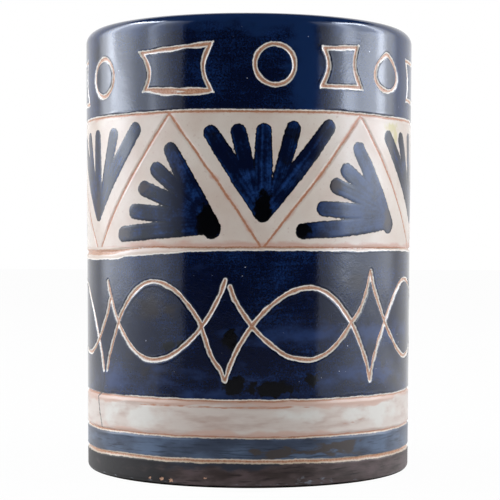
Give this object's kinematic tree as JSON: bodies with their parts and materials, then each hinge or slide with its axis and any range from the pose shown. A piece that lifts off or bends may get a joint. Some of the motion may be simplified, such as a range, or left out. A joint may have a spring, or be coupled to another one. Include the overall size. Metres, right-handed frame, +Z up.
{
  "type": "pottery vase",
  "caption": "Straight-sided round pottery vase with a rounded lip, cobalt and white glazed bands, scratched geometric lines and brushed fans, open at the top to hold stems.",
  "frame": {"origin": "centre of the flat underside, on the surface that the vase stands on", "axes": "+Z up along the vase's axis, -Y towards the pictured front, +X to the right of it"},
  "size_m": [0.1262, 0.1262, 0.167],
  "materials": {
    "clay": "unglazed fired clay, matte",
    "inside_glaze": "clear glaze over buff clay, glossy",
    "white_slip": "white slip under clear glaze, glossy",
    "cobalt_glaze": "dark cobalt glaze, glossy",
    "brushwork": "brushed cobalt under clear glaze, glossy",
    "foot_glaze": "thin dark iron glaze, satin"
  },
  "bodies": {
    "root": {"brush_fan_hanging_1": "brushwork", "brush_fan_hanging_2": "brushwork", "brush_fan_hanging_3": "brushwork", "brush_fan_hanging_4": "brushwork", "brush_fan_hanging_5": "brushwork", "brush_fan_standing_1": "brushwork", "brush_fan_standing_2": "brushwork", "brush_fan_standing_3": "brushwork", "brush_fan_standing_4": "brushwork", "brush_fan_standing_5": "brushwork", "clay_base_disc": "clay", "clay_wall": "clay", "foot_band": "foot_glaze", "foot_stripe": "cobalt_glaze", "inside_glaze": "inside_glaze", "rim_circle_1": "cobalt_glaze", "rim_circle_2": "cobalt_glaze", "rim_circle_3": "cobalt_glaze", "rim_circle_4": "cobalt_glaze", "rim_circle_5": "cobalt_glaze", "rim_circle_6": "cobalt_glaze", "rim_circle_7": "cobalt_glaze", "rim_glaze": "cobalt_glaze", "rim_panel_1": "cobalt_glaze", "rim_panel_2": "cobalt_glaze", "rim_panel_3": "cobalt_glaze", "rim_panel_4": "cobalt_glaze", "rim_panel_5": "cobalt_glaze", "rim_panel_6": "cobalt_glaze", "rim_panel_7": "cobalt_glaze", "slip_band_lower": "white_slip", "slip_triangle_hanging_1": "white_slip", "slip_triangle_hanging_2": "white_slip", "slip_triangle_hanging_3": "white_slip", "slip_triangle_hanging_4": "white_slip", "slip_triangle_hanging_5": "white_slip", "slip_triangle_standing_1": "white_slip", "slip_triangle_standing_2": "white_slip", "slip_triangle_standing_3": "white_slip", "slip_triangle_standing_4": "white_slip", "slip_triangle_standing_5": "white_slip", "wave_diamond_1": "cobalt_glaze", "wave_diamond_2": "cobalt_glaze", "wave_diamond_3": "cobalt_glaze", "wave_diamond_4": "cobalt_glaze", "wave_diamond_5": "cobalt_glaze", "wave_diamond_6": "cobalt_glaze", "wave_diamond_7": "cobalt_glaze", "wave_field_lower": "cobalt_glaze", "wave_field_upper": "cobalt_glaze", "wave_oval_1": "cobalt_glaze", "wave_oval_2": "cobalt_glaze", "wave_oval_3": "cobalt_glaze", "wave_oval_4": "cobalt_glaze", "wave_oval_5": "cobalt_glaze", "wave_oval_6": "cobalt_glaze", "wave_oval_7": "cobalt_glaze"}
  },
  "joints": []
}
